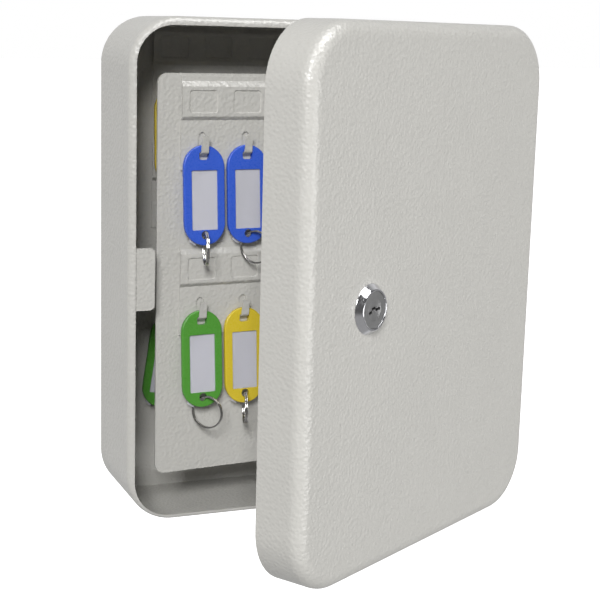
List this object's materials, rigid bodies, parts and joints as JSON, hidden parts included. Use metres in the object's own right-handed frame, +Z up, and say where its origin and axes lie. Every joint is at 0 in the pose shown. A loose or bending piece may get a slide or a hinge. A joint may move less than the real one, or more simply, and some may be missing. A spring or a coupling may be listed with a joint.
{
  "type": "wall key cabinet",
  "caption": "Rounded steel wall cabinet for keys, with a locking door on a long hinge, a swing-out hook panel and hanging key tags.",
  "frame": {"origin": "middle of the wall-hole pattern on the outer face of the back plate", "axes": "+X right seen from the front (the hinge side), +Y into the wall, +Z up"},
  "size_m": [0.2103, 0.1773, 0.25],
  "materials": {
    "shell": "fine textured powder coat, light warm grey",
    "bare_steel": "zinc plated, satin",
    "polished": "polished chrome",
    "brass": "plain",
    "plug_face": "dull nickel",
    "clear": "clear plastic",
    "card": "plain paper card",
    "blue": "moulded plastic, semi gloss",
    "green": "moulded plastic, semi gloss",
    "yellow": "moulded plastic, semi gloss"
  },
  "bodies": {
    "cabinet": {"wall_band": "shell", "back_plate": "shell", "strike_plate": "shell", "hinge_leaf_body": "shell", "hinge_pin": "bare_steel", "pivot_bracket_top": "shell", "pivot_bracket_bottom": "shell", "pivot_pins": "bare_steel", "pivot_washer": "bare_steel", "back_strip_upper": "shell", "back_strip_middle": "shell", "back_strip_lower": "shell"},
    "door": {"door_pan": "shell", "hinge_leaf_door": "shell", "lock_housing": "polished", "lock_nut": "bare_steel", "lock_washer": "bare_steel"},
    "lock_barrel": {"lock_plug": "plug_face", "lock_wafers": "brass", "wafer_springs": "bare_steel", "lock_cam": "bare_steel", "cam_washer": "bare_steel", "cam_screw": "bare_steel"},
    "panel": {"key_panel": "shell", "panel_strip_upper": "shell", "panel_strip_lower": "shell"},
    "tag_1": {"tag_1_frame": "blue", "tag_1_cover": "clear", "tag_1_label": "card"},
    "ring_1": {"tag_1_ring": "bare_steel"},
    "tag_2": {"tag_2_frame": "blue", "tag_2_cover": "clear", "tag_2_label": "card"},
    "ring_2": {"tag_2_ring": "bare_steel"},
    "tag_3": {"tag_3_frame": "green", "tag_3_cover": "clear", "tag_3_label": "card"},
    "ring_3": {"tag_3_ring": "bare_steel"},
    "tag_4": {"tag_4_frame": "yellow", "tag_4_cover": "clear", "tag_4_label": "card"},
    "ring_4": {"tag_4_ring": "bare_steel"},
    "tag_5": {"tag_5_frame": "yellow", "tag_5_cover": "clear", "tag_5_label": "card"},
    "ring_5": {"tag_5_ring": "bare_steel"},
    "tag_6": {"tag_6_frame": "green", "tag_6_cover": "clear", "tag_6_label": "card"},
    "ring_6": {"tag_6_ring": "bare_steel"}
  },
  "joints": [
    {"name": "door_hinge", "type": "hinge", "parent": "cabinet", "child": "door", "pos_m": [0.1, -0.0554, 0], "axis": [0, 0, 1], "range_deg": [-31.1, 90]},
    {"name": "lock_turn", "type": "hinge", "parent": "door", "child": "lock_barrel", "pos_m": [-0.02347, -0.14693, 0], "axis": [0.5165, -0.8563, 0], "range_deg": [-90, 0]},
    {"name": "panel_swing", "type": "hinge", "parent": "cabinet", "child": "panel", "pos_m": [0.084, -0.0225, 0], "axis": [0, 0, 1], "range_deg": [-5.68, 22]},
    {"name": "tag_1_swing", "type": "hinge", "parent": "panel", "child": "tag_1", "pos_m": [-0.05987, -0.04513, 0.0599], "axis": [0.0987, -0.9927, 0.0698], "range_deg": [-6, 1.5]},
    {"name": "ring_1_swing", "type": "hinge", "parent": "tag_1", "child": "ring_1", "pos_m": [-0.05954, -0.04838, 0.01893], "axis": [-0.9838, 0.1791, 0], "range_deg": [-1.5, 8]},
    {"name": "tag_2_swing", "type": "hinge", "parent": "panel", "child": "tag_2", "pos_m": [-0.03638, -0.0428, 0.0599], "axis": [0.0987, -0.9927, 0.0698], "range_deg": [-1.5, 6]},
    {"name": "ring_2_swing", "type": "hinge", "parent": "tag_2", "child": "ring_2", "pos_m": [-0.03606, -0.04605, 0.01893], "axis": [-0.6987, -0.7154, 0], "range_deg": [-1.5, 2.5]},
    {"name": "tag_3_swing", "type": "hinge", "parent": "panel", "child": "tag_3", "pos_m": [-0.05987, -0.04513, -0.0229], "axis": [0.0987, -0.9927, 0.0698], "range_deg": [-6, 1.5]},
    {"name": "ring_3_swing", "type": "hinge", "parent": "tag_3", "child": "ring_3", "pos_m": [-0.05954, -0.04838, -0.06387], "axis": [-0.6987, -0.7154, 0], "range_deg": [-6, 8]},
    {"name": "tag_4_swing", "type": "hinge", "parent": "panel", "child": "tag_4", "pos_m": [-0.03638, -0.0428, -0.0229], "axis": [0.0987, -0.9927, 0.0698], "range_deg": [-1.5, 6]},
    {"name": "ring_4_swing", "type": "hinge", "parent": "tag_4", "child": "ring_4", "pos_m": [-0.03606, -0.04605, -0.06387], "axis": [-0.9689, 0.2473, 0], "range_deg": [-6, 8]},
    {"name": "tag_5_swing", "type": "hinge", "parent": "cabinet", "child": "tag_5", "pos_m": [-0.0622, -0.00353, 0.0855], "axis": [0.0039, -0.989, 0.1478], "range_deg": [-6, 6]},
    {"name": "ring_5_swing", "type": "hinge", "parent": "tag_5", "child": "ring_5", "pos_m": [-0.06326, -0.01, 0.04492], "axis": [-1, 0, 0], "range_deg": [-6, 8]},
    {"name": "tag_6_swing", "type": "hinge", "parent": "cabinet", "child": "tag_6", "pos_m": [-0.0622, -0.00328, -0.0337], "axis": [0.0116, -0.9976, 0.0688], "range_deg": [-2, 8]},
    {"name": "ring_6_swing", "type": "hinge", "parent": "tag_6", "child": "ring_6", "pos_m": [-0.06903, -0.00655, -0.0741], "axis": [-0.9135, -0.4067, 0], "range_deg": [-6, 8]}
  ]
}
